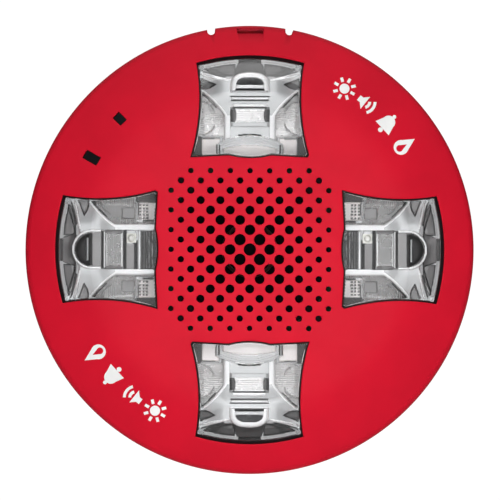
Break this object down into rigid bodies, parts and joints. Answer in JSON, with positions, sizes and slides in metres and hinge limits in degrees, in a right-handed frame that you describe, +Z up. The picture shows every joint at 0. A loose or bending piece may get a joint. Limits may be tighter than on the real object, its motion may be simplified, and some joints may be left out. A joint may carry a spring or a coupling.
{
  "type": "horn strobe",
  "caption": "Round red wall or ceiling horn strobe: a grille over the sounder, clear strobe windows round it, and a head that hinges off its mounting plate.",
  "frame": {"origin": "centre of the box screw patterns, on the back face of the mounting plate, which lies on the wall", "axes": "+Y into the wall, -Y out of the front, +Z up the wall towards the release slot, +X to the right seen from the front"},
  "size_m": [0.1727, 0.046, 0.1726],
  "materials": {
    "red_plastic": "fine moulded texture, satin",
    "plate_grey": "matt",
    "print_white": "printed ink",
    "clear_lens": "polished",
    "reflector_silver": "metallised, satin",
    "led_board_white": "solder mask",
    "led_yellow": "ceramic and silicone",
    "board_green": "solder mask",
    "black_plastic": "matt",
    "steel": "zinc plated",
    "contact_brass": "plated",
    "copper": "enamelled wire",
    "gasket_rubber": "foam rubber",
    "basket_grey": "painted",
    "ferrite": "sintered",
    "cone_black": "doped paper",
    "capacitor_sleeve": "shrink sleeve",
    "smoked_window": "polished",
    "light_guide": "polished",
    "knob_white": "matt",
    "switch_blue": "matt"
  },
  "bodies": {
    "wall_plate": {"mounting_plate": "plate_grey", "terminal_block": "black_plastic", "terminal_screws": "steel", "terminal_clamps": "steel", "plate_contacts": "contact_brass", "shorting_spring": "contact_brass"},
    "head": {"front_cover": "red_plastic", "front_symbols": "print_white", "rear_housing": "red_plastic", "cover_screws": "steel", "hinge_pins": "steel", "lens_right": "clear_lens", "lens_top": "clear_lens", "lens_left": "clear_lens", "lens_bottom": "clear_lens", "reflector_right": "reflector_silver", "reflector_top": "reflector_silver", "reflector_left": "reflector_silver", "reflector_bottom": "reflector_silver", "led_board_right": "led_board_white", "led_board_top": "led_board_white", "led_board_left": "led_board_white", "led_board_bottom": "led_board_white", "led_right": "led_yellow", "led_top": "led_yellow", "led_left": "led_yellow", "led_bottom": "led_yellow", "board_connectors": "knob_white", "main_board": "board_green", "board_screws": "steel", "capacitors": "capacitor_sleeve", "inductor": "copper", "power_transistors": "black_plastic", "control_chip": "black_plastic", "contact_blades": "contact_brass", "blade_holder": "black_plastic", "driver_gasket": "gasket_rubber", "driver_frame": "basket_grey", "driver_screws": "steel", "top_plate": "steel", "magnet": "ferrite", "yoke": "steel", "candela_window": "smoked_window", "status_window": "smoked_window", "light_pipe": "light_guide", "status_led": "led_yellow", "candela_guide": "black_plastic", "tone_switch": "switch_blue", "volume_switch": "black_plastic", "latch_spring": "steel"},
    "diaphragm": {"diaphragm": "cone_black", "dust_cap": "cone_black", "voice_coil": "copper"},
    "latch": {"release_latch": "red_plastic"},
    "candela": {"candela_slider": "knob_white"},
    "tone": {"tone_knob": "knob_white"},
    "volume": {"volume_slider": "knob_white"}
  },
  "joints": [
    {"name": "head_swing", "type": "hinge", "parent": "wall_plate", "child": "head", "pos_m": [0, -0.0075, -0.0755], "axis": [1, 0, 0], "range_deg": [0, 25]},
    {"name": "latch_press", "type": "slide", "parent": "head", "child": "latch", "axis": [0, 0, -1], "range_m": [0, 0.002], "stiffness_N_per_m": 600, "springref_m": -0.002, "deforming": ["latch_spring"]},
    {"name": "diaphragm_travel", "type": "slide", "parent": "head", "child": "diaphragm", "axis": [0, -1, 0], "range_m": [-0.0008, 0.0008], "stiffness_N_per_m": 2500},
    {"name": "candela_slide", "type": "slide", "parent": "head", "child": "candela", "axis": [-0.5, 0, -0.866], "range_m": [-0.003, 0.006]},
    {"name": "tone_turn", "type": "hinge", "parent": "head", "child": "tone", "pos_m": [-0.038, -0.0118, -0.03], "axis": [0, 1, 0], "range_deg": [0, 315]},
    {"name": "volume_slide", "type": "slide", "parent": "head", "child": "volume", "axis": [1, 0, 0], "range_m": [-0.0015, 0.0015]}
  ]
}
